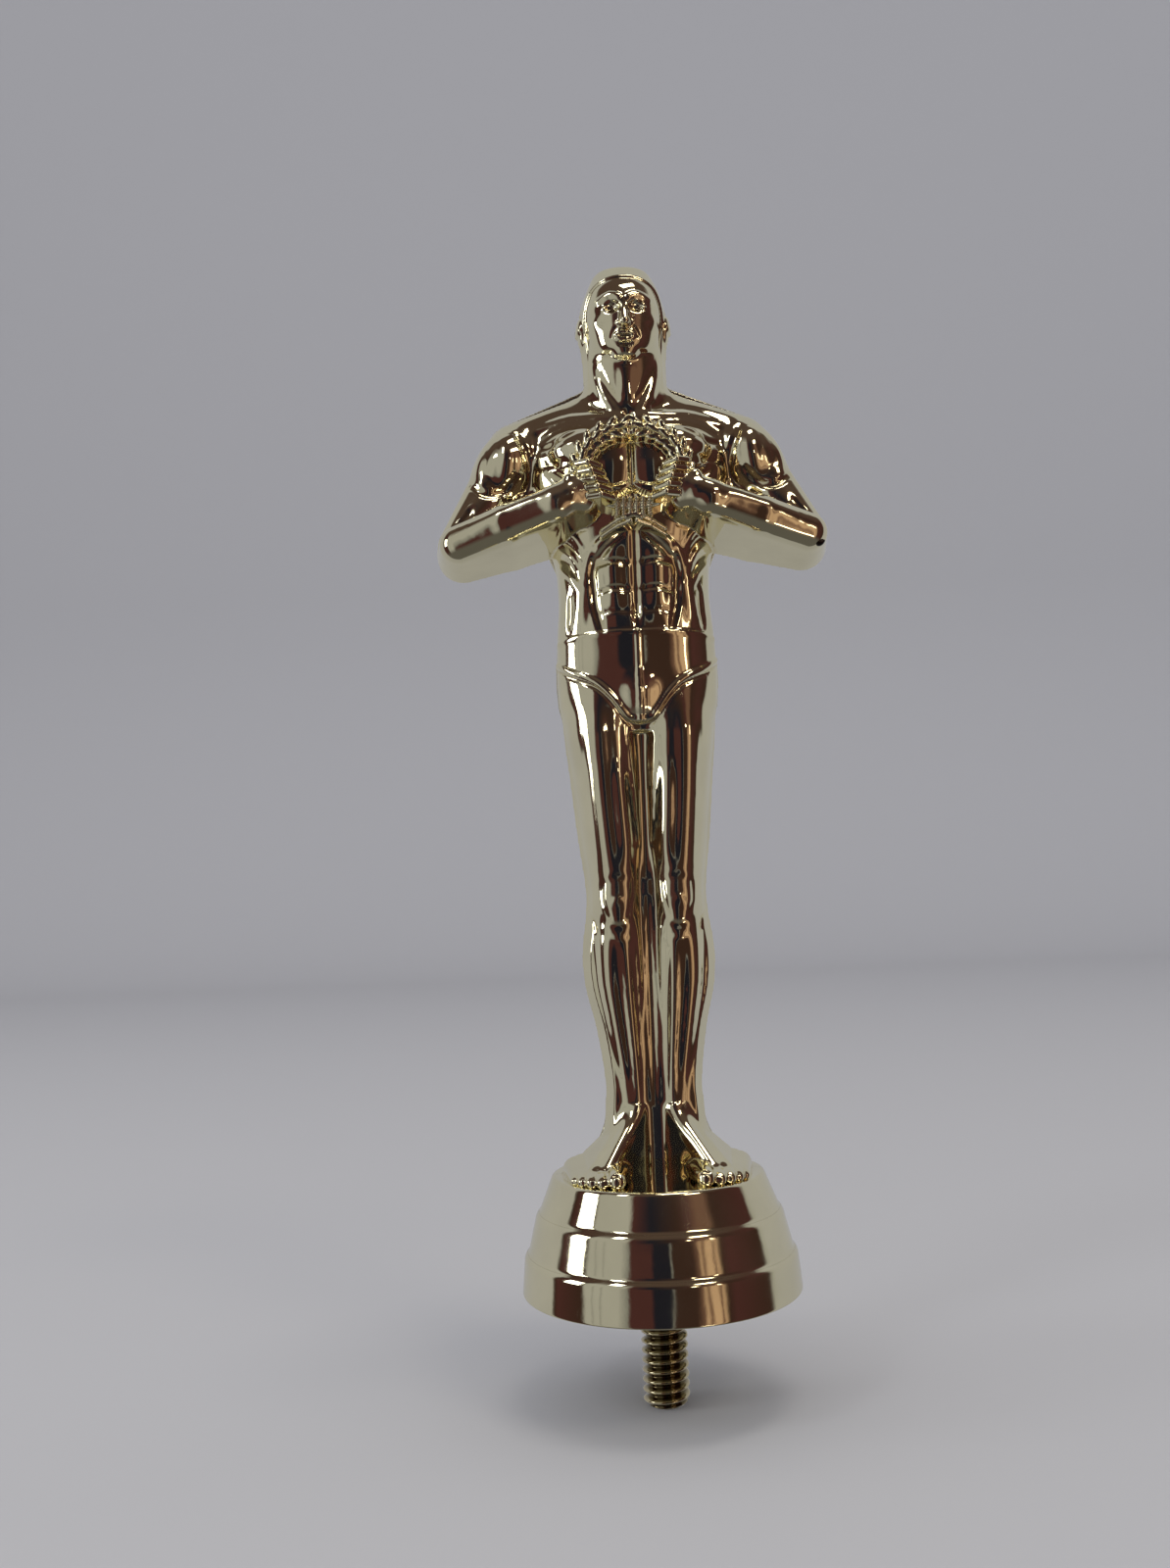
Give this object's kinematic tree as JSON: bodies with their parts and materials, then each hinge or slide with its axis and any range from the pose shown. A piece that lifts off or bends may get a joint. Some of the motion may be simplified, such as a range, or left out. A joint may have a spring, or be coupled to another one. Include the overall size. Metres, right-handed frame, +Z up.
{
  "type": "trophy figure",
  "caption": "Standing victory figure holding a laurel wreath on a round stepped pedestal, with a threaded stud underneath to fasten it to a trophy.",
  "frame": {"origin": "centre of the pedestal's underside, where the threaded stud comes out", "axes": "+Z up the figure towards the head, the figure faces -Y, +X towards its left hand; the mould seam is the plane Y = 0"},
  "size_m": [0.056, 0.0382, 0.159],
  "materials": {
    "gold_plating": "vacuum-metallised mirror gold, pale champagne tint",
    "gold_stud": "gold-washed steel thread, darker in the roots"
  },
  "bodies": {
    "root": {"front_shell": "gold_plating", "back_shell": "gold_plating", "threaded_stud": "gold_stud"}
  },
  "joints": []
}
